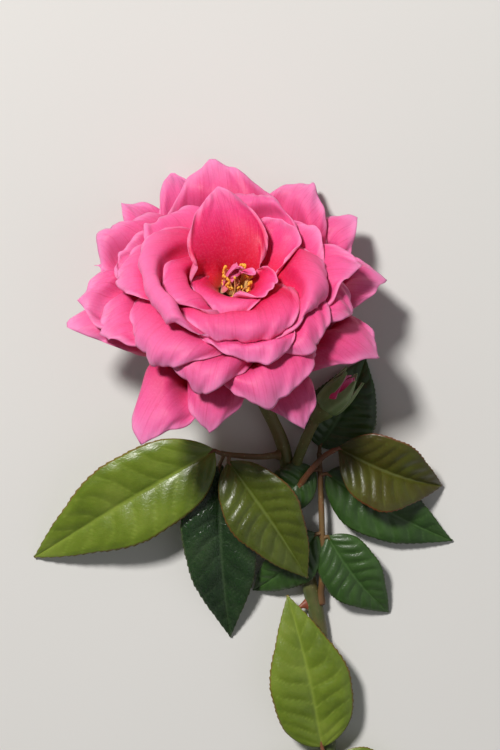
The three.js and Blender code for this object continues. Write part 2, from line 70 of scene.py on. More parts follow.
AXIS = np.array([0, math.cos(BLOOM_ELEVATION), math.sin(BLOOM_ELEVATION)])
BACK = np.array([0, math.sin(BLOOM_ELEVATION), -math.cos(BLOOM_ELEVATION)])
RIGHT = np.array([1.0, 0, 0])

styles_low, styles_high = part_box("styles")
SHIFT = np.array([
    (styles_low.x + styles_high.x) / 2 / MM,
    styles_high.y / MM - STYLES_TOP[0] * AXIS[1] - STYLES_TOP[1] * BACK[1],
    0,
])


def from_bloom(points):
    """Points of the bloom's frame in the rose's frame, both in mm."""
    points = np.asarray(points, float)
    turned = points[..., :1] * RIGHT + points[..., 1:2] * BACK + points[..., 2:] * AXIS
    return turned + [0, 0, BLOOM_HEIGHT]


def smooth(x):
    x = np.clip(x, 0, 1)
    return x * x * (3 - 2 * x)


def lay_on_floor(points, half_thickness):
    """Presses what would dip below the floor flat onto it."""
    points[..., 2] = np.maximum(points[..., 2], half_thickness)
    return points


# ---------------------------------------------------------------- meshes
def make_piece(name, points, faces, attributes, material, node):
    mesh = bpy.data.meshes.new(name)
    world = (np.asarray(points, float).reshape(-1, 3) + SHIFT) * MM
    mesh.from_pydata(world.tolist(), [], faces)
    mesh.validate()
    mesh.shade_smooth()
    for key, values in attributes.items():
        layer = mesh.attributes.new(key, "FLOAT", "POINT")
        layer.data.foreach_set("value", np.asarray(values, np.float32).ravel())
    mesh.materials.append(material)
    piece = bpy.data.objects.new(name, mesh)
    bpy.context.scene.collection.objects.link(piece)
    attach(piece, "root")
    if node:
        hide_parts(node)
    return piece


def grid_normals(grid):
    across = np.gradient(grid, axis=1)
    along = np.gradient(grid, axis=0)
    normal = np.cross(across, along)
    return normal / np.maximum(np.linalg.norm(normal, axis=-1, keepdims=True), 1e-9)


def shell_faces(rows, cols):
    """Faces of a closed shell whose top grid comes first and whose underside grid comes second."""
    faces = []
    under = rows * cols
    for j in range(rows - 1):
        for i in range(cols - 1):
            a, b, c, d = j * cols + i, j * cols + i + 1, (j + 1) * cols + i + 1, (j + 1) * cols + i
            faces.append((a, b, c, d))
            faces.append((under + a, under + d, under + c, under + b))
        left, right = j * cols, j * cols + cols - 1
        faces.append((left, left + cols, under + left + cols, under + left))
        faces.append((right + cols, right, under + right, under + right + cols))
    for i in range(cols - 1):
        top = (rows - 1) * cols + i
        faces.append((i + 1, i, under + i, under + i + 1))
        faces.append((top, top + 1, under + top + 1, under + top))
    return faces


def shell_points(grid, thickness):
    half = grid_normals(grid) * np.asarray(thickness)[..., None] / 2
    return np.concatenate([(grid + half).reshape(-1, 3), (grid - half).reshape(-1, 3)])


def twice(values):
    return np.concatenate([np.ravel(values), np.ravel(values)])


def sides(shape):
    return np.concatenate([np.zeros(shape), np.ones(shape)])


class Bundle:
    """Several closed meshes gathered into one piece."""

    def __init__(self):
        self.points, self.faces, self.attributes, self.count = [], [], {}, 0

    def add(self, points, faces, **attributes):
        points = np.asarray(points, float).reshape(-1, 3)
        self.faces += [tuple(k + self.count for k in face) for face in faces]
        self.points.append(points)
        for key, values in attributes.items():
            full = np.broadcast_to(np.asarray(values, float).ravel(), (len(points),))
            self.attributes.setdefault(key, []).append(full)
        self.count += len(points)

    def piece(self, name, material, node, slot):
        attributes = {key: np.concatenate(values) for key, values in self.attributes.items()}
        return make_piece(name, np.concatenate(self.points), self.faces, attributes, material, node)


def spline(points, count):
    """A smooth route through the points, with evenly spaced steps."""
    points = np.asarray(points, float)
    padded = np.vstack([2 * points[0] - points[1], points, 2 * points[-1] - points[-2]])
    dense = []
    for k in range(1, len(padded) - 2):
        p0, p1, p2, p3 = padded[k - 1:k + 3]
        t = np.linspace(0, 1, 24, endpoint=False)[:, None]
        dense.append(0.5 * (2 * p1 + (p2 - p0) * t + (2 * p0 - 5 * p1 + 4 * p2 - p3) * t * t
                            + (3 * p1 - p0 - 3 * p2 + p3) * t ** 3))
    dense = np.vstack(dense + [points[-1:]])
    step = np.linalg.norm(np.diff(dense, axis=0), axis=1)
    reach = np.concatenate([[0], np.cumsum(step)])
    even = np.linspace(0, reach[-1], count)
    return np.stack([np.interp(even, reach, dense[:, k]) for k in range(3)], 1)


def tube(route, radii, ring=12):
    """Points and faces of a closed tube along a route, with its ends capped."""
    route = np.asarray(route, float)
    tangent = np.gradient(route, axis=0)
    tangent /= np.linalg.norm(tangent, axis=1, keepdims=True)
    reference = np.array([0, 0, 1.0]) if abs(tangent[0, 2]) < 0.9 else np.array([1.0, 0, 0])
    normal = np.cross(tangent[0], reference)
    rings = []
    for k, (centre, along) in enumerate(zip(route, tangent)):
        normal = normal - along * normal.dot(along)
        normal /= np.linalg.norm(normal)
        side = np.cross(along, normal)
        angle = np.arange(ring) * 2 * math.pi / ring
        rings.append(centre + radii[k] * (np.cos(angle)[:, None] * normal + np.sin(angle)[:, None] * side))
    points = np.vstack(rings + [route[:1], route[-1:]])
    count = len(route)
    faces = []
    for k in range(count - 1):
        for i in range(ring):
            n = (i + 1) % ring
            faces.append((k * ring + i, k * ring + n, (k + 1) * ring + n, (k + 1) * ring + i))
    first, last = count * ring, count * ring + 1
    for i in range(ring):
        n = (i + 1) % ring
        faces.append((first, n, i))
        faces.append((last, (count - 1) * ring + i, (count - 1) * ring + n))
    return points, faces


def turned(outline, ring, origin, up, side):
    """Points and faces of a solid of revolution: outline as (radius, height), its ends on the axis."""
    outline = np.asarray(outline, float)
    across = np.cross(up, side)
    angle = np.arange(ring) * 2 * math.pi / ring
    body = outline[1:-1]
    around = np.cos(angle)[:, None] * side + np.sin(angle)[:, None] * across
    points = origin + body[:, None, :1] * around[None] + body[:, None, 1:] * up
    points = np.vstack([points.reshape(-1, 3), origin + outline[0, 1] * up, origin + outline[-1, 1] * up])
    rows = len(body)
    faces = []
    for k in range(rows - 1):
        for i in range(ring):
            n = (i + 1) % ring
            faces.append((k * ring + i, k * ring + n, (k + 1) * ring + n, (k + 1) * ring + i))
    foot, top = rows * ring, rows * ring + 1
    for i in range(ring):
        n = (i + 1) % ring
        faces.append((foot, n, i))
        faces.append((top, (rows - 1) * ring + i, (rows - 1) * ring + n))
    return points, faces


# ---------------------------------------------------------------- node helpers for materials
class Nodes:
    def __init__(self, name):
        self.material = bpy.data.materials.new(name)
        self.material.use_nodes = True
        self.tree = self.material.node_tree
        self.shader = self.tree.nodes["Principled BSDF"]

    def add(self, kind, **settings):
        node = self.tree.nodes.new(kind)
        for key, value in settings.items():
            setattr(node, key, value)
        return node

    def link(self, value, socket):
        if isinstance(value, bpy.types.NodeSocket):
            self.tree.links.new(value, socket)
        elif isinstance(value, (tuple, list)) and len(value) == 3 and socket.type == "RGBA":
            socket.default_value = (*value, 1)
        else:
            socket.default_value = value

    def attribute(self, name):
        return self.add("ShaderNodeAttribute", attribute_name=name).outputs["Fac"]

    def math(self, operation, a, b=0.0, clamp=False):
        node = self.add("ShaderNodeMath", operation=operation, use_clamp=clamp)
        self.link(a, node.inputs[0])
        self.link(b, node.inputs[1])
        return node.outputs[0]

    def ramp(self, factor, stops):
        node = self.add("ShaderNodeValToRGB")
        while len(node.color_ramp.elements) < len(stops):
            node.color_ramp.elements.new(0.5)
        for element, (place, color) in zip(node.color_ramp.elements, stops):
            element.position = place
            element.color = (*color, 1) if len(color) == 3 else color
        self.link(factor, node.inputs[0])
        return node.outputs[0]

    def mask(self, factor, low, high):
        node = self.add("ShaderNodeMapRange", interpolation_type="SMOOTHSTEP")
        self.link(factor, node.inputs["Value"])
        node.inputs["From Min"].default_value = low
        node.inputs["From Max"].default_value = high
        return node.outputs["Result"]

    def mix(self, factor, a, b, blend="MIX"):
        node = self.add("ShaderNodeMix", data_type="RGBA", blend_type=blend)
        self.link(factor, node.inputs["Factor"])
        self.link(a, node.inputs["A"])
        self.link(b, node.inputs["B"])
        return node.outputs["Result"]

    def noise(self, scale, detail=3.0, rough=0.55, vector=None, distortion=0.0):
        node = self.add("ShaderNodeTexNoise")
        node.inputs["Scale"].default_value = scale
        node.inputs["Detail"].default_value = detail
        node.inputs["Roughness"].default_value = rough
        node.inputs["Distortion"].default_value = distortion
        if vector is None:
            vector = self.add("ShaderNodeTexCoord").outputs["Object"]
        self.link(vector, node.inputs["Vector"])
        return node.outputs["Fac"]

    def combine(self, x, y, z=0.0):
        node = self.add("ShaderNodeCombineXYZ")
        for value, socket in zip((x, y, z), node.inputs):
            self.link(value, socket)
        return node.outputs[0]

    def bump(self, height, strength, distance):
        node = self.add("ShaderNodeBump")
        node.inputs["Strength"].default_value = strength
        node.inputs["Distance"].default_value = distance
        self.link(height, node.inputs["Height"])
        return node.outputs[0]

    def set(self, **inputs):
        for key, value in inputs.items():
            self.link(value, self.shader.inputs[key.replace("_", " ")])


# ---------------------------------------------------------------- materials
def petal_material(name, crevice_shade_depth=1.0):
    """Satin petal: a pale claw, crimson-pink below, partly as painted shade of the crevices between petals,
    hot pink above with paler crests that carry a painted highlight, and a paler mauve rim and underside.
    """
    n = Nodes(name)
    along, across = n.attribute("along"), n.attribute("across")
    rim, under, tone = n.attribute("rim"), n.attribute("under"), n.attribute("tone")
    outer = n.attribute("outer")
    cloud = n.noise(70, 3, 0.6)
    reach = n.math("ADD", along, n.math("MULTIPLY", n.math("SUBTRACT", cloud, 0.5), 0.25))
    # On both faces, the crimson low down, between the pale claw and the hot pink above, is partly the
    # petal's own colour and partly painted shade of the crevices between the petals.
    inner_face = n.ramp(reach, [
        (0.0, (0.80, 0.55, 0.25)),
        (0.08, (0.70, 0.07, 0.04)),
        (0.2, (0.58, 0.002 * crevice_shade_depth, 0.018)),
        (0.5, (0.74, 0.008, 0.085)),
        (0.78, (0.85, 0.045, 0.210)),
        (1.0, (0.88, 0.140, 0.370)),
    ])
    outer_face = n.ramp(reach, [
        (0.0, (0.74, 0.55, 0.30)),
        (0.15, (0.58, 0.02, 0.06)),
        (0.5, (0.64, 0.012, 0.095)),
        (0.78, (0.77, 0.085, 0.270)),
        (1.0, (0.82, 0.210, 0.450)),
    ])
    face = n.mix(n.mask(outer, 0.1, 0.75), inner_face, outer_face)
    back = n.ramp(along, [
        (0.0, (0.74, 0.60, 0.30)),
        (0.15, (0.78, 0.24, 0.26)),
        (0.5, (0.78, 0.12, 0.30)),
        (1.0, (0.84, 0.25, 0.46)),
    ])
    color = n.mix(under, face, back)
    # Veins fan out along the petal.
    fan = n.combine(n.math("MULTIPLY", across, 34), n.math("MULTIPLY", along, 2.2), tone)
    veins = n.noise(1.0, 2.5, 0.6, fan, 0.35)
    color = n.mix(n.math("MULTIPLY", n.mask(veins, 0.48, 0.72), 0.34), color, (0.52, 0.008, 0.07))
    # Fine satin grain of the petal's cells.
    grain = n.noise(1500, 2, 0.7)
    color = n.mix(n.math("MULTIPLY", n.mask(grain, 0.42, 0.75), 0.10), color, (0.96, 0.30, 0.50))
    # Each petal leans a little to mauve or to coral.
    color = n.mix(n.math("MULTIPLY", n.mask(tone, 0.45, 1.0), 0.20), color, (0.80, 0.15, 0.42))
    # The crests that roll back over get a paler pink, partly their own paler colour and partly a painted
    # highlight where they catch the light, and the thin rim is paler too.
    color = n.mix(n.math("MULTIPLY", n.attribute("crest"), 0.5), color, (0.88, 0.22, 0.46))
    color = n.mix(n.math("MULTIPLY", n.mask(rim, 0.9, 1.0), 0.45), color, (0.93, 0.32, 0.57))
    height = n.math("ADD", n.math("MULTIPLY", veins, 0.7), n.math("MULTIPLY", grain, 0.25))
    n.set(Base_Color=color, Normal=n.bump(height, 0.35, 0.0004))
    n.set(Roughness=n.math("ADD", 0.44, n.math("MULTIPLY", cloud, 0.18)))
    n.set(Subsurface_Weight=0.2, Subsurface_Radius=(1.0, 0.2, 0.35), Subsurface_Scale=0.0012)
    n.set(Sheen_Weight=0.07, Sheen_Roughness=0.4, Specular_IOR_Level=0.3)
    n.shader.inputs["Sheen Tint"].default_value = (1.0, 0.72, 0.86, 1)
    return n.material


def leaf_material(name, face_colors, back_color, edge_color, gloss, net_depth=0.15):
    """Waxy leaf: paler midrib and side veins, blotches, a reddish edge and a duller, paler underside."""
    n = Nodes(name)
    along, across = n.attribute("along"), n.attribute("across")
    rim, under, vein = n.attribute("rim"), n.attribute("under"), n.attribute("vein")
    blotch = n.noise(60, 4, 0.6)
    face = n.ramp(blotch, [(0.3, face_colors[0]), (0.52, face_colors[1]), (0.75, face_colors[2])])
    fine = n.noise(700, 3, 0.65)
    face = n.mix(n.math("MULTIPLY", n.mask(fine, 0.45, 0.8), 0.25), face, face_colors[2])
    face = n.mix(n.math("MULTIPLY", vein, 0.4), face, tuple(1.5 * c + 0.012 for c in face_colors[2]))
    face = n.mix(n.math("MULTIPLY", n.mask(rim, 0.94, 1.0), 0.6), face, edge_color)
    pale_back = tuple(1.6 * c + 0.03 for c in back_color)
    back = n.mix(n.math("MULTIPLY", vein, 0.6), back_color, pale_back)
    n.set(Base_Color=n.mix(under, face, back))
    net = n.add("ShaderNodeTexVoronoi", feature="DISTANCE_TO_EDGE")
    net.inputs["Scale"].default_value = 1.0
    n.link(n.combine(n.math("MULTIPLY", across, 13), n.math("MULTIPLY", along, 38)), net.inputs["Vector"])
    cells = n.mask(net.outputs["Distance"], 0.0, 0.16)
    height = n.math("ADD", n.math("MULTIPLY", cells, net_depth), n.math("MULTIPLY", fine, 0.35))
    n.set(Normal=n.bump(height, 0.4, 0.0004))
    rough = n.math("ADD", gloss, n.math("MULTIPLY", fine, 0.16))
    n.set(Roughness=n.math("ADD", rough, n.math("MULTIPLY", under, 0.25)))
    n.set(Coat_Weight=0.18, Coat_Roughness=0.28, Subsurface_Weight=0.08)
    n.set(Subsurface_Radius=(0.4, 1.0, 0.2), Subsurface_Scale=0.001)
    return n.material


def stalk_material(name, low, high, flush, flush_share, rough=0.42):
    """Waxy stalk: green with a red flush on blotches, small pale lenticels and fine lengthwise lines."""
    n = Nodes(name)
    along, cut = n.attribute("along"), n.attribute("cut")
    blotch = n.noise(110, 4, 0.6)
    color = n.ramp(blotch, [(0.35, low), (0.65, high)])
    stretched = n.combine(n.math("MULTIPLY", n.attribute("around"), 26), n.math("MULTIPLY", along, 6))
    lines = n.noise(1.0, 3, 0.6, stretched)
    patches = n.math("ADD", n.noise(45, 3), n.math("MULTIPLY", lines, 0.3))
    color = n.mix(n.math("MULTIPLY", n.mask(patches, 0.5, 0.85), flush_share), color, flush)
    specks = n.add("ShaderNodeTexVoronoi")
    specks.inputs["Scale"].default_value = 620
    n.link(n.add("ShaderNodeTexCoord").outputs["Object"], specks.inputs["Vector"])
    dots = n.math("MULTIPLY", n.mask(specks.outputs["Distance"], 0.22, 0.10), 0.35)
    color = n.mix(dots, color, (0.42, 0.44, 0.22))
    pith = n.ramp(cut, [
        (0.0, (0.62, 0.66, 0.40)),
        (0.45, (0.55, 0.62, 0.32)),
        (0.62, (0.30, 0.42, 0.12)),
        (0.9, (0.16, 0.22, 0.06)),
    ])
    color = n.mix(n.mask(cut, 0.999, 0.99), color, pith)
    n.set(Base_Color=color, Roughness=n.math("ADD", rough, n.math("MULTIPLY", blotch, 0.15)))
    n.set(Normal=n.bump(n.math("ADD", lines, n.math("MULTIPLY", dots, 0.6)), 0.4, 0.0004))
    n.set(Coat_Weight=0.1, Coat_Roughness=0.35)
    return n.material


def simple_material(name, low, high, scale, rough, bump=0.4):
    n = Nodes(name)
    blotch = n.noise(scale, 4, 0.6)
    n.set(Base_Color=n.ramp(blotch, [(0.35, low), (0.65, high)]), Roughness=rough)
    n.set(Normal=n.bump(blotch, bump, 0.0003))
    return n.material


PETAL = petal_material("petal satin")
BUD_PETAL = petal_material("bud petal satin", 0.5)
YOUNG_LEAF = leaf_material(
    "young leaf wax", [(0.085, 0.130, 0.008), (0.135, 0.195, 0.014), (0.200, 0.260, 0.034)],
    (0.20, 0.27, 0.10), (0.22, 0.035, 0.018), 0.26)
OLIVE_LEAF = leaf_material(
    "olive leaf wax", [(0.050, 0.034, 0.004), (0.065, 0.062, 0.006), (0.085, 0.10, 0.012)],
    (0.24, 0.16, 0.07), (0.24, 0.03, 0.015), 0.24)
DARK_LEAF = leaf_material(
    "dark leaf wax", [(0.012, 0.036, 0.006), (0.026, 0.068, 0.010), (0.052, 0.115, 0.024)],
    (0.085, 0.15, 0.06), (0.05, 0.07, 0.02), 0.26)
SHADED_LEAF = leaf_material(
    "shaded leaf wax", [(0.006, 0.020, 0.005), (0.014, 0.040, 0.010), (0.045, 0.080, 0.030)],
    (0.085, 0.13, 0.06), (0.10, 0.12, 0.05), 0.2, 0.6)
MOSS_LEAF = leaf_material(
    "moss leaf wax", [(0.045, 0.060, 0.004), (0.075, 0.100, 0.008), (0.115, 0.150, 0.022)],
    (0.18, 0.23, 0.08), (0.20, 0.035, 0.018), 0.22)
GREEN_STALK = stalk_material(
    "green stalk wax", (0.075, 0.115, 0.020), (0.14, 0.19, 0.045), (0.20, 0.07, 0.03), 0.45)
STEM = stalk_material("stem bark", (0.050, 0.085, 0.018), (0.10, 0.14, 0.035), (0.16, 0.055, 0.03), 0.5)
LEAF_STALK = stalk_material(
    "leaf stalk wax", (0.15, 0.05, 0.025), (0.24, 0.07, 0.03), (0.10, 0.12, 0.03), 0.5)
SEPAL = leaf_material("sepal", [(0.11, 0.17, 0.04), (0.17, 0.24, 0.08), (0.26, 0.34, 0.15)],
                      (0.30, 0.38, 0.20), (0.45, 0.50, 0.32), 0.40)
ANTHER = simple_material("pollen", (0.78, 0.30, 0.02), (0.92, 0.58, 0.08), 900, 0.7)
FILAMENT = simple_material("filament", (0.80, 0.42, 0.14), (0.85, 0.58, 0.22), 500, 0.45)
STYLE = simple_material("style", (0.55, 0.12, 0.08), (0.75, 0.42, 0.20), 700, 0.5)
PRICKLE = simple_material("prickle", (0.22, 0.055, 0.03), (0.38, 0.14, 0.06), 300, 0.4)

# ---------------------------------------------------------------- petals
BASE_INNER = np.array([4.5, 3.0])
BASE_OUTER = np.array([8.5, -5.0])
CLAW = 0.1
LAYER_GAP = 0.5  # between petals that lie on each other
PETAL_REST = 0.3  # height of the middle of a petal that lies on the floor
PETAL_COLS = 48
PETAL_ROWS = 56
PETAL_THICKNESS = 0.34
RIM_THICKNESS = 0.12
ROUND_DROP = 0.36  # how far a round rim's corners stay behind its middle, as a share of the length
SHARP_DROP = 0.5  # and those of a pointed rim
ROLL_START, ROLL_LENGTH = 0.35, 0.6  # where its margins start to turn back, and over what share
CURL_START = 0.72  # where the midline starts to curl back
LEAST_TURN = 1e-3
FLAT_SHARE, FLAT_SHARE_LOST = 0.55, 0.4  # the width that stays flat, and what a pointed tip takes off it
AXIS_WRAP = 0.75  # how closely petals wrap round the axis, 0 being flat
PHASE_STEP = 2.4  # sets each petal's waves apart from the next one's

# From the innermost to the outermost: the direction round the bloom (0 to the stem, 90 to +X), the rim's
# distance from the axis and height, the midline's angles at base and rim, the half width, how far the
# side margins and the rim turn back, how pointed the tip is and how far it sits to one side.
PETALS = """
petaloid_right -125  -4   15   98  178   5.0    0   0  0.2  0.0
petaloid_left   -95  -7   12   98  185   5.2    0   0  0.2  0.0
inner_right     52  16   14   78   40   9.0  -70   0  0.3  0.0
inner_front    -22  18   10   76  -30  15.0   25  60  0.2  0.3
inner_back    -160  25   28   78   40  16.0   10   0  0.8 -0.2
inner_left     -66  27   15   70    0  15.0   30  50  0.3  0.2
cup_small      136  25   18   66   60  12.0  -85 -10  0.1  0.0
front_mid        4  33   10   50  -45  23.0   30  60  0.2  0.2
right_big       60  35   14   72  -30  26.0   40  80  0.7  0.1
back_right     166  31   24   64    0  16.0   20  60  0.2  0.2
left_big       -72  37   15   76  -40  27.0   20 110  0.15 0.2
cup_outer      114  32   16   58   30  16.0  -60   0  0.3  0.2
back_left     -136  36   18   62    0  17.0   30  50  0.2  0.0
front_low        8  39    7   56  -40  18.0   40  30  0.2  0.3
right_low       44  40    6   52  -35  16.0   40  30  0.2 -0.2
right_mid       88  42   13   50  -10  15.0  -20   0  0.7  0.2
left_round     -92  40   11   50  -20  15.0   30  40  0.1  0.0
right_small     74  41    4   46  -45  12.0   40  20  0.3  0.0
left_fold     -106  41   14   48  -10  14.0   30  40  0.3  0.0
front_left     -46  45    3   44  -40  23.0   50  70  0.5  0.2
left_low       -70  48    1   42  -25  15.0   30  20  0.3  0.0
front_roll     -16  46   -3   40  -60  19.0   80  50  0.8  0.0
front_right     20  48   -5   36  -50  24.0   80  30  0.6 -0.2
left_side      -86  52    3   36  -15  16.0   30  10  0.4  0.0
left_wide     -117  49   13   36   -5  24.0   60  30  0.6  0.2
back_top      -173  47   21   38   15  25.0   50   0  0.85 0.1
back_corner    147  48   16   34    5  21.0   80  10  0.85 0.0
right_corner   125  50   10   30    0  19.0   90  10  0.9  0.0
right_point    101  52    0   24  -20  19.0  100  10  0.95 0.0
back_point    -156  54   14   24    0  17.0   90  10  0.95 0.0
left_notch    -134  54   10   22   -5  15.0   80  10  0.9  0.0
outer_right     70  51  -10   16  -35  21.0  100  10  0.95 0.0
outer_left     -83  55   -7   14  -25  21.0  100  10  1.0  0.0
outer_front    -11  43  -20    6  -75  18.0  120  10  1.0  0.0
outer_dark      29  46  -20    4  -65  18.0  120  10  1.0  0.0
outer_low      -33  55  -22    2  -60  20.0  110  10  1.0  0.0
outer_hook    -112  52   -2    6  -20  10.0   90  10  0.9  0.0
"""


def read_petals():
    petals = []
    for line in PETALS.strip().splitlines():
        name, *numbers = line.split()
        keys = ("az", "r", "f", "e0", "e1", "half", "roll", "curl", "point", "skew")
        petals.append(dict(zip(keys, map(float, numbers)), name=name, number=len(petals)))
    for petal in petals:
        petal["order"] = petal["number"] / (len(petals) - 1)
    return petals


def petal_profile(petal, steps=80):
    """The midline in the plane through the bloom's axis: share, r, height, angle and length."""
    foot = BASE_INNER + (BASE_OUTER - BASE_INNER) * petal["order"]
    rim = np.array([petal["r"], petal["f"]])
    reach = 0.42 * np.linalg.norm(rim - foot)
    heading = [np.array([math.cos(a), math.sin(a)]) for a in map(math.radians, (petal["e0"], petal["e1"]))]
    t = np.linspace(0, 1, steps + 1)[:, None]
    near, far = foot + reach * heading[0], rim - reach * heading[1]
    line = (1 - t) ** 3 * foot + 3 * (1 - t) ** 2 * t * near + 3 * (1 - t) * t * t * far + t ** 3 * rim
    step = np.diff(line, axis=0)
    length = np.linalg.norm(step, axis=1)
    angle = np.unwrap(np.arctan2(step[:, 1], step[:, 0]))
    share = np.concatenate([[0], np.cumsum(length)]) / length.sum()
    middle = (share[:-1] + share[1:]) / 2
    angle = angle - math.radians(petal["curl"]) * smooth((middle - CURL_START) / (1 - CURL_START))
    step = np.stack([np.cos(angle), np.sin(angle)], 1) * length[:, None]
    line = np.vstack([foot, foot + np.cumsum(step, axis=0)])
    angle = np.concatenate([angle[:1], (angle[:-1] + angle[1:]) / 2, angle[-1:]])
    return share, line[:, 0], line[:, 1], angle, length.sum()


def petal_surface(petal):
    """The petal's mid-surface in the bloom's frame, with its coordinates along and across."""
    u = np.linspace(-1, 1, PETAL_COLS + 1)[None, :]
    v = np.linspace(0, 1, PETAL_ROWS + 1)[:, None]
    a = np.abs(u)
    phase = PHASE_STEP * petal["number"]
    off_tip = np.abs(u - petal["skew"] * (1 - u * u))
    round_drop = 1 - np.sqrt(np.clip(1 - off_tip ** 2.6, 0, 1))
    sharp_drop = 0.72 * off_tip ** 0.92 + 0.28 * off_tip ** 4
    point = petal["point"]
    drop = (1 - point) * ROUND_DROP * round_drop + point * SHARP_DROP * sharp_drop
    ragged = 0.55 + 0.45 * math.sin(1.9 * phase)
    swell = 0.5 + 0.5 * np.sin(2.3 * u + phase)
    notches = 0.022 * np.sin(6 * u + 3 * phase) * swell + 0.012 * np.sin(17 * u + phase) * (1 - swell)
    drop = drop + ragged * notches
    t = v * (1 - np.clip(drop, 0, 1))
    share, line_r, line_f, line_angle, length = petal_profile(petal)
    spread = 0.62 + 0.2 * petal["order"]
    width = petal["half"] * (CLAW + (1 - CLAW) * np.sin(math.pi / 2 * v ** spread))
    turn = math.radians(petal["roll"]) * smooth((v - ROLL_START) / ROLL_LENGTH)
    turn = np.where(np.abs(turn) < LEAST_TURN, LEAST_TURN, turn)
    flat = FLAT_SHARE - FLAT_SHARE_LOST * point * smooth((v - 0.4) / 0.6)
    radius = (1 - flat) * width / turn
    over = np.maximum(a * width - flat * width, 0)
    across = np.sign(u) * (np.minimum(a, flat) * width + radius * np.sin(over / radius))
    ruffle = length / 80 * smooth((t - 0.5) / 0.5)
    edge = smooth((np.maximum(a * smooth(v / 0.6), v) - 0.72) / 0.28)
    lift = (
        -radius * (1 - np.cos(over / radius))
        + 1.2 * u * t
        + ruffle * (0.8 * np.sin(5.5 * u + phase) + 0.45 * np.sin(11 * u + 1.7 * phase + 3 * t))
        + 0.85 * ragged * edge * swell * np.sin(8 * u + 5 * v + 2 * phase)
        + 0.40 * ragged * edge * (1 - swell) * np.sin(17 * u + 7 * v + phase)
        + length / 50 * smooth((t - 0.35) / 0.4) * np.sin(3.1 * u + 1.3 * phase) * np.sin(4.5 * t + phase)
        + point * 0.9 * smooth((v - 0.62) / 0.38) * np.exp(-(off_tip / 0.22) ** 2)
        + 0.18 * smooth(t / 0.3) * np.sin(9 * u + 2 * phase) * np.sin(8 * t + phase)
    )
    r = np.interp(t, share, line_r)
    f = np.interp(t, share, line_f)
    angle = np.interp(t, share, line_angle)
    outward = r - lift * np.sin(angle)
    swing = across / np.maximum(r, 4)
    tangential = AXIS_WRAP * outward * np.sin(swing) + (1 - AXIS_WRAP) * across
    radial = AXIS_WRAP * outward * np.cos(swing) + (1 - AXIS_WRAP) * outward
    az = math.radians(petal["az"])
    grid = np.stack([
        radial * math.sin(az) + tangential * math.cos(az),
        -radial * math.cos(az) + tangential * math.sin(az),
        f + lift * np.cos(angle),
    ], -1)
    return grid, t, u + 0 * v, v + 0 * u


# Petals lie on each other: for each direction and distance from the bloom's foot, the lowest elevation
# that the petals laid so far reach. The next one outwards is pressed below it.
AZIMUTH_CELLS = 180
REACH_CELLS = 80
CELL_REACH = 1.0
ceiling = np.full((AZIMUTH_CELLS, REACH_CELLS), math.pi)


def spread_lowest(cells):
    """Each cell's lowest value among itself and its neighbours."""
    around = np.minimum(cells, np.minimum(np.roll(cells, 1, 0), np.roll(cells, -1, 0)))
    padded = np.pad(around, ((0, 0), (1, 1)), mode="edge")
    return np.minimum(padded[:, 1:-1], np.minimum(padded[:, :-2], padded[:, 2:]))


def neighbour_mean(values):
    padded = np.pad(values, 1, mode="edge")
    rows, cols = values.shape
    return sum(padded[j:j + rows, i:i + cols] for j in range(3) for i in range(3)) / 9


def press_under(grid):
    around = np.arctan2(grid[..., 1], grid[..., 0])
    reach = np.linalg.norm(grid, axis=-1)
    elevation = np.arctan2(grid[..., 2], np.hypot(grid[..., 0], grid[..., 1]))
    a = np.floor((around / (2 * math.pi) + 1) * AZIMUTH_CELLS).astype(int) % AZIMUTH_CELLS
    d = np.clip(np.floor(reach / CELL_REACH).astype(int), 0, REACH_CELLS - 1)
    lowest = spread_lowest(ceiling)[a, d]
    wanted = np.maximum(0, elevation - lowest + LAYER_GAP / reach)
    press = wanted * smooth((reach - 7) / 7)
    for _ in range(7):
        press = np.maximum(press, neighbour_mean(press))
    for _ in range(3):
        press = neighbour_mean(press)
    lowered = elevation - press
    np.minimum.at(ceiling, (a, d), lowered)
    flat = reach * np.cos(lowered)
    return np.stack([flat * np.cos(around), flat * np.sin(around), reach * np.sin(lowered)], -1)


def frill(grid, across, v, petal):
    """Small irregular waves of a petal's rim, a few millimetres long."""
    phase = PHASE_STEP * petal["number"]
    run = across * petal["half"] + 22 * v * np.sign(across)
    wave = np.sin(0.62 * run + phase) + 0.7 * np.sin(1.35 * run + 2.1 * phase) * np.sin(0.21 * run + phase)
    edge = smooth((np.maximum(v, np.abs(across) * smooth(v / 0.6)) - 0.78) / 0.22)
    return grid + grid_normals(grid) * (0.5 * min(1, petal["half"] / 14) * edge * wave)[..., None]


for petal in read_petals():
    surface, along, across, v = petal_surface(petal)
    surface = from_bloom(frill(press_under(surface), across, v, petal))
    rim = np.maximum(v, np.abs(across) * smooth(v / 0.5))
    thickness = PETAL_THICKNESS + (RIM_THICKNESS - PETAL_THICKNESS) * smooth((rim - 0.7) / 0.3)
    points = lay_on_floor(shell_points(lay_on_floor(surface, PETAL_REST), thickness), FLOOR_CLEARANCE)
    tone = np.full(2 * rim.size, math.sin(12.9898 * (petal["number"] + 1)) * 43758.5453 % 1)
    attributes = {
        "along": twice(along),
        "across": twice(across),
        "rim": twice(rim),
        "under": 1 - sides(rim.size),
        "tone": tone,
        "outer": np.full(2 * rim.size, petal["order"]),
        # Where the rolled-back crests get a paler pink, partly their own colour and partly a painted
        # highlight.
        "crest": twice(smooth((along - 0.55) / 0.3) * min(1, petal["curl"] / 110) ** 1.5),
    }
    name = "petal_" + petal["name"]
    make_piece(name + "_skin", points, shell_faces(*rim.shape), attributes, PETAL, name)


# ---------------------------------------------------------------- the bloom's heart
GOLDEN_ANGLE = 2.39996
STAMENS = 58
STYLES = 22


def bloom_point(r, around, height):
    return np.array([r * math.sin(around), -r * math.cos(around), height])


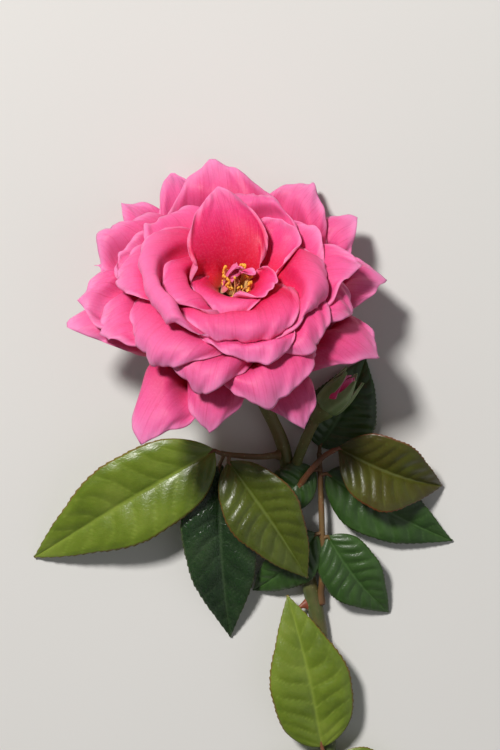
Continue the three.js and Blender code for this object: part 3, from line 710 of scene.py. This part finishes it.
def add_ball(bundle, centre, along, length, radius, ring=8):
    """A closed bean-shaped body about centre, stretched along a direction."""
    along = along / np.linalg.norm(along)
    side = np.cross(along, [0.3, 0.9, 0.2])
    side /= np.linalg.norm(side)
    steps = np.linspace(0, math.pi, 6)
    outline = [(radius * math.sin(a), -length / 2 * math.cos(a)) for a in steps]
    bundle.add(*turned(outline, ring, centre, along, side))


def build_stamens():
    filaments, anthers = Bundle(), Bundle()
    for i in range(STAMENS):
        around = i * GOLDEN_ANGLE
        crowd = (i * 0.618) % 1
        foot = bloom_point(2.5 + 1.0 * crowd, around, 3.0)
        knee = bloom_point(3.0 + 0.9 * crowd, around + 0.15 * math.sin(5.1 * i), 6.0)
        height = 9.2 + 2.6 * math.cos(2.7 * i) - 1.6 * crowd
        top = bloom_point(3.1 + 3.2 * crowd, around + 0.3 * math.sin(3.3 * i), height)
        route = from_bloom(spline([foot, knee, top], 9))
        filaments.add(*tube(route, np.linspace(0.24, 0.15, 9), 6))
        lean = route[-1] - route[-2] + [0.15 * math.sin(7 * i), 0.15 * math.cos(9 * i), 0]
        for lobe in (-0.24, 0.24):
            shift = lobe * np.cross(lean / np.linalg.norm(lean), [math.sin(4 * i), math.cos(4 * i), 0.3])
            add_ball(anthers, route[-1] + shift, lean, 1.35, 0.38, 8)
    filaments.piece("stamen_filaments", FILAMENT, "stamens", "stamen")
    anthers.piece("stamen_anthers", ANTHER, "stamens", "stamen")


def build_styles():
    styles = Bundle()
    dome = [(0, 2.5), (2.0, 2.6), (2.2, 3.1), (1.4, 3.9), (0, 4.1)]
    styles.add(*turned(dome, 20, from_bloom([0, 0, 0]), AXIS, RIGHT))
    for i in range(STYLES):
        around = i * GOLDEN_ANGLE
        spread = 1.5 * math.sqrt((i + 0.5) / STYLES)
        foot = bloom_point(0.7 * spread, around, 3.2)
        top = bloom_point(spread, around, 7.2 + 0.5 * math.sin(5 * i))
        route = from_bloom(spline([foot, (foot + top) / 2 + bloom_point(0.15, around, 0), top], 7))
        styles.add(*tube(route, np.full(7, 0.2), 6))
        add_ball(styles, route[-1], route[-1] - route[-2], 0.6, 0.36, 8)
    styles.piece("styles_bunch", STYLE, "styles", "style")


# ---------------------------------------------------------------- blades
def blade(bundle, base, tip, width, arch, fold, teeth, thickness, up=(0, 0, 1), cols=28, rows=72,
          veins=9, quilt=0.75, sweep=0.0, wave=0.0, seed=0.0):
    """Adds a pointed, toothed leaf blade, folded along its midrib, arched and quilted between its veins."""
    base, tip, up = (np.asarray(p, float) for p in (base, tip, up))
    axis = tip - base
    length = np.linalg.norm(axis)
    axis = axis / length
    side = np.cross(axis, up)
    side /= np.linalg.norm(side)
    above = np.cross(side, axis)
    s = np.linspace(0, 1, rows + 1)[:, None]
    u = np.linspace(-1, 1, cols + 1)[None, :]
    a = np.abs(u)
    widest = 0.36
    outline = (s / widest) ** 0.62 * ((1 - s) / (1 - widest)) ** 1.1
    outline = np.maximum(outline * (1 + 0.03 * np.sin(15 * s + 2 * seed)), 0.03)
    saw = (s * teeth) % 1
    margin = a > 0.99
    toothed = 0.035 * (saw - 0.5) * smooth(s / 0.08) * smooth((1 - s) / 0.05)
    half = width / 2 * outline * (1 + toothed * margin)
    across = u * half
    # Teeth point to the tip: the outermost row of points leans forward.
    forward = 0.008 * length * margin * saw * smooth(s / 0.1)
    drift = 0.16 * np.sin(7 * s + 3 * seed) + 0.10 * np.sin(4 * a + 11 * s + seed) + 0.22 * (u > 0)
    vein_phase = (s * veins * (1.12 - 0.12 * s) - a * (1.0 + 0.5 * a) * (1 - 0.35 * s) + drift) % 1
    vein_line = np.exp(-((np.minimum(vein_phase, 1 - vein_phase)) / 0.04) ** 2) * smooth((1 - a) / 0.15)
    midrib = np.exp(-(a * outline / 0.04) ** 2)
    vein = np.clip(vein_line * 0.8 * (1 - midrib) + midrib, 0, 1)
    puff = np.sin(math.pi * vein_phase) * np.sin(math.pi * np.clip(a, 0, 1) ** 0.8) * outline
    height = (
        arch * 4 * s * (1 - s)
        + np.abs(across) * math.tan(math.radians(fold))
        - arch * (across / width) ** 2 * 1.4
        + quilt * puff
        - 0.30 * midrib
        + wave * np.sin(9 * s + 2.5 * np.sign(u) + seed) * a ** 2 * outline
        - 0.9 * smooth((a - 0.75) / 0.25) * outline * (width / 30)
    )
    bend = sweep * np.sin(math.pi * s)
    grid = (
        base + axis * (s * length + forward)[..., None]
        + side * (across + bend)[..., None]
        + above * height[..., None]
    )
    lay_on_floor(grid, thickness / 2 + 0.05)
    thick = thickness * (1 - 0.45 * smooth((a - 0.6) / 0.4)) + 0.5 * midrib * (1 - 0.6 * s)
    normal = grid_normals(grid)
    top = grid + normal * (thickness / 2 * (1 - 0.4 * a))[..., None]
    under = grid - normal * (thick - thickness / 2)[..., None]
    points = np.concatenate([top.reshape(-1, 3), under.reshape(-1, 3)])
    lay_on_floor(points, FLOOR_CLEARANCE)
    size = grid.shape[0] * grid.shape[1]
    rim = np.maximum(a + 0 * s, smooth((s - 0.9) / 0.1) + 0 * a)
    bundle.add(
        points, shell_faces(*grid.shape[:2]), along=twice(s + 0 * u), across=twice(u + 0 * s),
        rim=twice(rim), under=sides(size), vein=twice(vein),
    )


# ---------------------------------------------------------------- hip, sepals and pedicel
HIP = [(0, -21), (2.3, -20.6), (2.6, -18.6), (3.6, -15.6), (5.2, -12.4), (6.6, -9.4), (7.1, -7.4),
       (6.9, -5.6), (5.2, -1.6), (3.4, 2.0), (0, 2.3)]
PEDICEL = [[18.6, -66, 4], [16, -54, 4.8], [10, -40, 7.6], [4, -26, 13], [0.6, -15.5, 19.2], [0, -12, 21.6]]
SEPALS = 5


def refine(outline, count):
    """The outline's points joined by a smooth curve."""
    flat = np.column_stack([np.asarray(outline, float), np.zeros(len(outline))])
    fine = spline(flat, count)[:, :2]
    fine[[0, -1], 0] = 0
    fine[1:-1, 0] = np.maximum(fine[1:-1, 0], 0.05)
    return fine


def stalk(bundle, route, start, end, count=60, ring=16, knob=0.0, cut=False):
    """Adds a round stalk, slightly uneven, with an optional swelling at its foot and a cut face."""
    path = spline(route, count)
    s = np.linspace(0, 1, count)
    radii = start + (end - start) * s
    radii = radii * (1 + 0.03 * np.sin(13 * s) + 0.02 * np.sin(31 * s + 1))
    radii = radii + knob * np.exp(-(s / 0.05) ** 2)
    points, faces = tube(path, radii, ring)
    along = np.concatenate([np.repeat(s, ring), [0, 1]])
    around = np.concatenate([np.tile(np.abs(np.linspace(-1, 1, ring, endpoint=False)), count), [0, 0]])
    if cut:
        # Rings across the cut face let its pith and rind show.
        faces = [face for face in faces if len(points) - 2 not in face]
        centre = path[0]
        first = points[:ring]
        extra, shares = [], [0.88, 0.6, 0.3]
        for share in shares:
            extra.append(centre + (first - centre) * share)
        base = len(points)
        points = np.vstack([points] + extra)
        previous = np.arange(ring)
        for k in range(len(shares)):
            now = base + k * ring + np.arange(ring)
            for i in range(ring):
                n = (i + 1) % ring
                faces.append((int(previous[n]), int(previous[i]), int(now[i]), int(now[n])))
            previous = now
        for i in range(ring):
            faces.append((len(along) - 2, int(previous[(i + 1) % ring]), int(previous[i])))
        cut_values = np.concatenate([np.ones(len(along)), np.repeat(shares, ring)])
        cut_values[len(along) - 2] = 0
        along = np.concatenate([along, np.zeros(ring * len(shares))])
        around = np.concatenate([around, np.zeros(ring * len(shares))])
    else:
        cut_values = np.ones(len(points))
    bundle.add(points, faces, along=along, around=around, cut=cut_values)


def build_hip():
    body = Bundle()
    stalk(body, PEDICEL, 2.35, 2.2, 70, 18, 0.5)
    points, faces = turned(refine(HIP, 34), 36, from_bloom([0, 0, 0]), AXIS, RIGHT)
    body.add(points, faces, along=0.5, around=0.3, cut=1.0)
    body.piece("pedicel_and_hip", GREEN_STALK, "pedicel_with_hip_and_sepals", "green_stalk")
    sepals = Bundle()
    for i in range(SEPALS):
        around = 2 * math.pi * (i + 0.5) / SEPALS
        foot = from_bloom(bloom_point(5.6, around, -7.6))
        tip = from_bloom(bloom_point(27, around, -21))
        blade(sepals, foot, tip, 9.5, 3.0, -14, 5, 0.7, AXIS, 14, 40, 5, 0.1, seed=i)
    sepals.piece("bloom_sepals", SEPAL, "pedicel_with_hip_and_sepals", "green_stalk")


# ---------------------------------------------------------------- stem
STEM_ROUTE = [[33.2, -182, 3.2], [32, -152, 3.2], [29.5, -122, 3.2], [24.5, -100, 3.2],
              [20.5, -82, 3.4], [19, -69, 3.8]]
STEM_RADIUS = 2.9
PRICKLE_PLACES = [(0.12, 170), (0.3, 20), (0.46, 150), (0.62, 12), (0.8, 100)]
PRICKLE_LENGTH = 5.0


def build_stem():
    body = Bundle()
    stalk(body, STEM_ROUTE, STEM_RADIUS, 2.6, 120, 24, 0.0, True)
    body.piece("stem_bark", STEM, "stem", "stem")
    path = spline(STEM_ROUTE, 200)
    prickles = Bundle()
    for place, degrees in PRICKLE_PLACES:
        k = int(place * 199)
        centre, along = path[k], path[min(k + 1, 199)] - path[k - 1]
        along /= np.linalg.norm(along)
        side = np.cross([0, 0, 1], along)
        side /= np.linalg.norm(side)
        turn = math.radians(degrees)
        out = math.cos(turn) * side + math.sin(turn) * np.cross(along, side)
        route = [centre + out * (STEM_RADIUS * 0.7), centre + out * (STEM_RADIUS + 1.2),
                 centre + out * (STEM_RADIUS + 3.2) - 0.6 * along,
                 centre + out * (STEM_RADIUS + PRICKLE_LENGTH) - 2.2 * along]
        points, faces = tube(spline(route, 18), 0.12 + 1.35 * (1 - np.linspace(0, 1, 18)) ** 1.5, 12)
        stretch = (points - centre) @ along
        above_bark = (points - centre) @ out - STEM_RADIUS
        points = points + np.outer(stretch * 0.7 * np.exp(-above_bark / 1.6), along)
        prickles.add(points, faces)
    prickles.piece("stem_prickles", PRICKLE, "stem", "stem")


# ---------------------------------------------------------------- bud
BUD_ROUTE = [[19.8, -65.4, 4.6], [22, -58, 7], [25, -50, 9], [28, -44, 10]]
BUD_HEADING = np.array([0.62, 0.76, 0.18]) / np.linalg.norm([0.62, 0.76, 0.18])
BUD_SIDE = np.cross(BUD_HEADING, [0, 0, 1]) / np.linalg.norm(np.cross(BUD_HEADING, [0, 0, 1]))
BUD_ACROSS = np.cross(BUD_HEADING, BUD_SIDE)
BUD_HIP = [(0, -2), (1.7, -1.8), (2.6, 0.4), (3.5, 2.4), (3.8, 3.8), (3.3, 5.4), (0, 5.9)]
BUD_FOOT, BUD_RADIUS = 6.4, 5.0
BUD_PETALS_LENGTH = 12.0


def bud_radius(s):
    return BUD_RADIUS * np.sin(math.pi * (0.22 + 0.78 * s)) ** 0.8 * (1 - 0.35 * s)


def bud_point(r, around, height):
    r, around, height = np.broadcast_arrays(r, around, height)
    foot = np.array(BUD_ROUTE[-1], float)
    return (foot + (r * np.cos(around))[..., None] * BUD_SIDE + (r * np.sin(around))[..., None] * BUD_ACROSS
            + height[..., None] * BUD_HEADING)


def build_bud():
    petals = Bundle()
    s = np.linspace(0, 1, 30)[:, None]
    core = [(0, BUD_FOOT)]
    for k in np.linspace(0, 0.96, 16):
        core.append((0.86 * bud_radius(k), BUD_FOOT + BUD_PETALS_LENGTH * k))
    core.append((0, BUD_FOOT + BUD_PETALS_LENGTH + 0.2))
    points, faces = turned(core, 24, np.array(BUD_ROUTE[-1], float), BUD_HEADING, BUD_SIDE)
    petals.add(points, faces, along=0.55, across=0.0, rim=0.0, under=0.0, tone=0.3, outer=0.3,
               crest=0.0)
    for i in range(5):
        u = np.linspace(-1, 1, 29)[None, :]
        around = i * 2.4 + u * (1.5 - 0.75 * s ** 2)
        top = 1 - 0.16 * np.abs(u) ** 1.8
        r = bud_radius(0.97 * s * top) + 0.05 + 0.10 * i * 0.4 + 0.22 * (u + 1)
        grid = bud_point(np.maximum(r, 0.4 + 0.3 * np.abs(u)), around, BUD_FOOT + 0.3 + 12.4 * s * top)
        petals.add(shell_points(grid, np.full(grid.shape[:2], 0.3)), shell_faces(*grid.shape[:2]),
                   along=twice(0.3 + 0.7 * s + 0 * u), across=twice(u + 0 * s),
                   rim=twice(np.maximum(np.abs(u), s)), under=sides(grid.shape[0] * grid.shape[1]),
                   tone=0.2 * i, outer=0.3,
                   crest=0.0)
    petals.piece("bud_petal_wrap", BUD_PETAL, "bud_petals", "bud_petal")

    stem = Bundle()
    stalk(stem, BUD_ROUTE, 1.9, 1.8, 40, 16, 0.4)
    points, faces = turned(refine(BUD_HIP, 24), 28, np.array(BUD_ROUTE[-1], float), BUD_HEADING, BUD_SIDE)
    stem.add(points, faces, along=0.5, around=0.3, cut=1.0)
    stem.piece("bud_stalk_and_hip", GREEN_STALK, "bud_stalk_with_sepals", "green_stalk")

    sepals = Bundle()
    s = np.linspace(0, 1, 40)[:, None]
    for i in range(SEPALS):
        u = np.linspace(-1, 1, 15)[None, :]
        around = 2 * math.pi * i / SEPALS + u * 0.78 * (1 - 0.85 * s ** 1.8) + 0.12 * np.sin(6 * s + i)
        r = np.where(s < 0.12, 3.2 + (bud_radius(0.1) - 2.4) * smooth(s / 0.12), bud_radius(s * 0.92) + 0.8)
        r = r + 2.4 * s ** 3 - 0.35 * np.abs(u)
        grid = bud_point(r, around, 4.2 + 15.4 * s + 0.4 * np.cos(5 * u))
        size = grid.shape[0] * grid.shape[1]
        ridge = np.exp(-(u / 0.2) ** 2) * (1 - 0.5 * s)
        thickness = 0.55 * (1 - 0.5 * np.abs(u)) + 0.25 * ridge
        sepals.add(shell_points(grid, thickness), shell_faces(*grid.shape[:2]),
                   along=twice(s + 0 * u), across=twice(u + 0 * s), rim=twice(np.abs(u) * 1.03 + 0 * s),
                   under=sides(size), vein=twice(ridge))
    sepals.piece("bud_sepals", SEPAL, "bud_stalk_with_sepals", "green_stalk")


# ---------------------------------------------------------------- leaves
# Each leaf's stalk route, and its leaflets as name, base, tip, width, arch, fold and material.
LEAVES = {
    "leaf_left": ([[15, -58, 6.4], [8, -58, 9.5], [0, -57, 12], [-5, -56, 13]], [
        ("big", [-7.4, -55, 13.2], [-71, -96, 1.2], 31, 5, 16, YOUNG_LEAF),
        ("right", [-2.4, -59, 13.6], [25, -101, 10.5], 25, 4, 27, MOSS_LEAF),
        ("low", [-5.6, -61, 10], [-2, -125, 1.2], 27, 3, 16, SHADED_LEAF),
    ]),
    "leaf_bract": ([[21.5, -70, 6.5], [25, -64, 9.4], [30, -58, 10.4], [34, -55.4, 10.6]], [
        ("blade", [35.6, -54.8, 10.6], [72, -70, 2], 26, 4, 34, OLIVE_LEAF),
    ]),
    "leaf_right": ([[29.6, -112, 3.4], [30.4, -98, 6.4], [30, -84, 7], [29.4, -68, 5.6], [29, -58, 3.6]], [
        ("low_right", [32, -87, 7], [54, -116, 1.2], 21, 3, 12, DARK_LEAF),
        ("low_left", [28, -86, 7.4], [6, -108, 1.2], 18, 3, 8, DARK_LEAF),
        ("high_right", [31.6, -65, 5.2], [76, -90, 1.2], 23, 2, 10, DARK_LEAF),
        ("high_left", [27.4, -63.5, 6], [2, -79, 1.2], 17, 4, 8, DARK_LEAF),
        ("tip", [29.2, -55.8, 3.2], [45, -25, 1.2], 25, 2, 8, DARK_LEAF),
    ]),
    "leaf_foot": ([[33, -176, 5], [32.2, -170.5, 7.6], [31, -165.5, 8]], [
        ("middle", [30.4, -163.4, 8.2], [18, -108, 7.4], 29, 3, 10, YOUNG_LEAF),
        ("left", [30, -169.5, 7.6], [4, -189, 1.2], 19, 2, 8, YOUNG_LEAF),
        ("right", [34.4, -169, 7.6], [64, -178, 1.2], 19, 2, 8, YOUNG_LEAF),
    ]),
}
RACHIS_RADIUS = 0.9
LEAF_TEETH = 26
LEAF_THICKNESS = 0.45


def nearest(route, point):
    path = spline(route, 60)
    return path[np.argmin(np.linalg.norm(path - point, axis=1))]


def build_leaves():
    for leaf, (route, leaflets) in LEAVES.items():
        rachis = Bundle()
        stalk(rachis, route, RACHIS_RADIUS * 1.3, RACHIS_RADIUS, 60, 12, 0.8)
        for number, (name, base, tip, width, arch, fold, material) in enumerate(leaflets):
            base, tip = np.array(base, float), np.array(tip, float)
            inside = base + (tip - base) * 0.04
            start = nearest(route, base)
            stalk(rachis, [start, (start + base) / 2 + [0, 0, 0.3], base, inside], 0.75, 0.6, 14, 10)
            leaflet = Bundle()
            blade(leaflet, base, tip, width, arch, fold, LEAF_TEETH, LEAF_THICKNESS,
                  sweep=1.2 * (-1) ** number, wave=0.6, seed=number)
            node = leaf + "_" + name
            dark = leaf == "leaf_right" or name == "low"
            leaflet.piece(node + "_leaflet", material, node, "dark_leaf" if dark else "young_leaf")
        rachis.piece(leaf + "_rachis", LEAF_STALK, leaf + "_stalk", "leaf_stalk")


build_stamens()
build_styles()
build_hip()
build_stem()
build_bud()
build_leaves()


# ---------------------------------------------------------------- floor, light and camera
FLOOR_SIZE = 3.2  # metres


def build_floor():
    n = Nodes("pale floor")
    color = n.ramp(n.noise(3, 3), [(0.3, (0.70, 0.69, 0.67)), (0.7, (0.73, 0.72, 0.70))])
    n.set(Base_Color=color, Roughness=0.8)
    mesh = bpy.data.meshes.new("floor")
    size = FLOOR_SIZE / 2
    corners = [(-size, -size, 0), (size, -size, 0), (size, size, 0), (-size, size, 0)]
    mesh.from_pydata(corners, [], [(0, 1, 2, 3)])
    mesh.materials.append(n.material)
    floor = bpy.data.objects.new("floor", mesh)
    floor.location.z = cad_box[0][2]
    bpy.context.scene.collection.objects.link(floor)


VIEW_TILT = math.radians(45)  # between the bloom's axis and the line to the camera
TOWARDS_CAMERA = math.cos(VIEW_TILT) * AXIS - math.sin(VIEW_TILT) * BACK
IMAGE_UP = math.sin(VIEW_TILT) * AXIS + math.cos(VIEW_TILT) * BACK
BLOOM_ACROSS = 105.0
FRAME_HEIGHT = 2.3585 * BLOOM_ACROSS  # how much the frame shows from its lower to its upper edge
FRAME_SIDE = 0.047 * BLOOM_ACROSS  # the frame's middle lies this far to the bloom's right
FRAME_DOWN = 0.242 * BLOOM_ACROSS  # and this far below its base centre
LENS, SENSOR = 100.0, 36.0


def in_scene(point):
    return Vector((np.asarray(point, float) + SHIFT) * MM)


def build_camera():
    camera = bpy.data.objects.new("camera", bpy.data.cameras.new("camera"))
    camera.data.lens = LENS
    camera.data.sensor_width = SENSOR
    camera.data.clip_start = 0.01
    distance = FRAME_HEIGHT * LENS / SENSOR
    middle = from_bloom([0, 0, 0]) + FRAME_SIDE * RIGHT - FRAME_DOWN * IMAGE_UP
    turn = Matrix((RIGHT, IMAGE_UP, TOWARDS_CAMERA)).transposed().to_4x4()
    camera.matrix_world = Matrix.Translation(in_scene(middle + distance * TOWARDS_CAMERA)) @ turn
    bpy.context.scene.collection.objects.link(camera)
    bpy.context.scene.camera = camera


def area_light(name, place, target, size, power, color):
    data = bpy.data.lights.new(name, "AREA")
    data.size, data.energy, data.color = size, power, color
    light = bpy.data.objects.new(name, data)
    light.location = in_scene(place)
    light.rotation_euler = (light.location - in_scene(target)).to_track_quat("Z", "Y").to_euler()
    bpy.context.scene.collection.objects.link(light)


build_floor()
build_camera()
area_light("key", [-560, 860, 1260], [0, -20, 20], 0.24, 29.0, (1.0, 0.98, 0.95))
area_light("fill", [500, -200, 500], [0, -40, 20], 0.8, 0.5, (0.95, 0.97, 1.0))
world = bpy.data.worlds.new("studio")
world.use_nodes = True
world.node_tree.nodes["Background"].inputs["Color"].default_value = (1.0, 1.0, 1.0, 1)
world.node_tree.nodes["Background"].inputs["Strength"].default_value = 0.12
bpy.context.scene.world = world
bpy.context.scene.view_settings.view_transform = "Standard"
